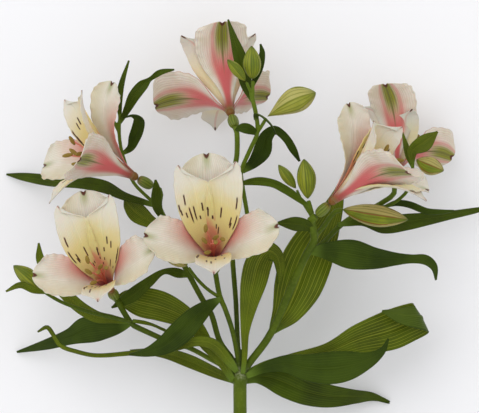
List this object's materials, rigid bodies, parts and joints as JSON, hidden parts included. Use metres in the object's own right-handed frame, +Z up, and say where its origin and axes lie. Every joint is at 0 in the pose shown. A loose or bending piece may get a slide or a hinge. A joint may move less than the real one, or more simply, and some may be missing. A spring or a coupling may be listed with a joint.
{
  "type": "alstroemeria stem",
  "caption": "Cut alstroemeria stem lying on a surface, with streaked cream and pink blooms, green buds and lance-shaped leaves on branching stalks.",
  "frame": {"origin": "under the middle of the whole stem's box, on the surface that it lies on", "axes": "+Y along the stem from its cut end towards the flower head, +Z up from the surface, +X to the right seen from above with the head away"},
  "size_m": [0.2301, 0.2974, 0.1015],
  "materials": {
    "stalk": "smooth green stalk, slightly waxy",
    "leaf": "dark green leaf with lighter parallel veins, satin",
    "bud": "yellow-green bud with darker tip and stripes, satin",
    "tepal": "cream petal with pink margins and brown streaks, soft and slightly translucent",
    "stamen": "pink-red filament with a matt olive-brown anther"
  },
  "bodies": {
    "root": {"stem": "stalk", "leaf_wide_left": "leaf", "leaf_dark_left": "leaf", "leaf_light_left": "leaf", "leaf_arched_tail": "leaf", "leaf_dark_middle": "leaf", "leaf_broad_middle": "leaf", "leaf_folded_middle": "leaf", "leaf_right_upper": "leaf", "leaf_right_long": "leaf", "leaf_right_thin": "leaf", "leaf_right_folded": "leaf", "leaf_right_dark": "leaf", "leaf_right_low": "leaf", "strap_at_ray": "leaf", "bract_at_ray": "leaf", "leaf_top_strap": "leaf", "leaf_top_point": "leaf", "leaf_far_left": "leaf", "leaf_behind_a": "leaf", "leaf_twisted_middle": "leaf", "leaf_c_low": "leaf", "leaf_c_upright": "leaf", "leaf_c_folded": "leaf", "leaf_c_twisted": "leaf", "bud_left": "bud", "bud_speckled": "bud", "bud_c": "bud", "bud_top_upright": "bud", "bud_top_left": "bud", "bud_top_large": "bud", "bud_ray_large": "bud", "bud_ray_small": "bud", "bud_striped": "bud", "bud_low_large": "bud", "bloom_a_tepals": "tepal", "bloom_a_ovary": "stalk", "bloom_a_stamens": "stamen", "bloom_b_tepals": "tepal", "bloom_b_ovary": "stalk", "bloom_b_stamens": "stamen", "bloom_c_tepals": "tepal", "bloom_c_ovary": "stalk", "bloom_c_stamens": "stamen", "bloom_d_tepals": "tepal", "bloom_d_ovary": "stalk", "bloom_d_stamens": "stamen", "bloom_e_tepals": "tepal", "bloom_e_ovary": "stalk", "bloom_e_stamens": "stamen", "bloom_f_tepals": "tepal", "bloom_f_ovary": "stalk", "bloom_f_stamens": "stamen"}
  },
  "joints": []
}
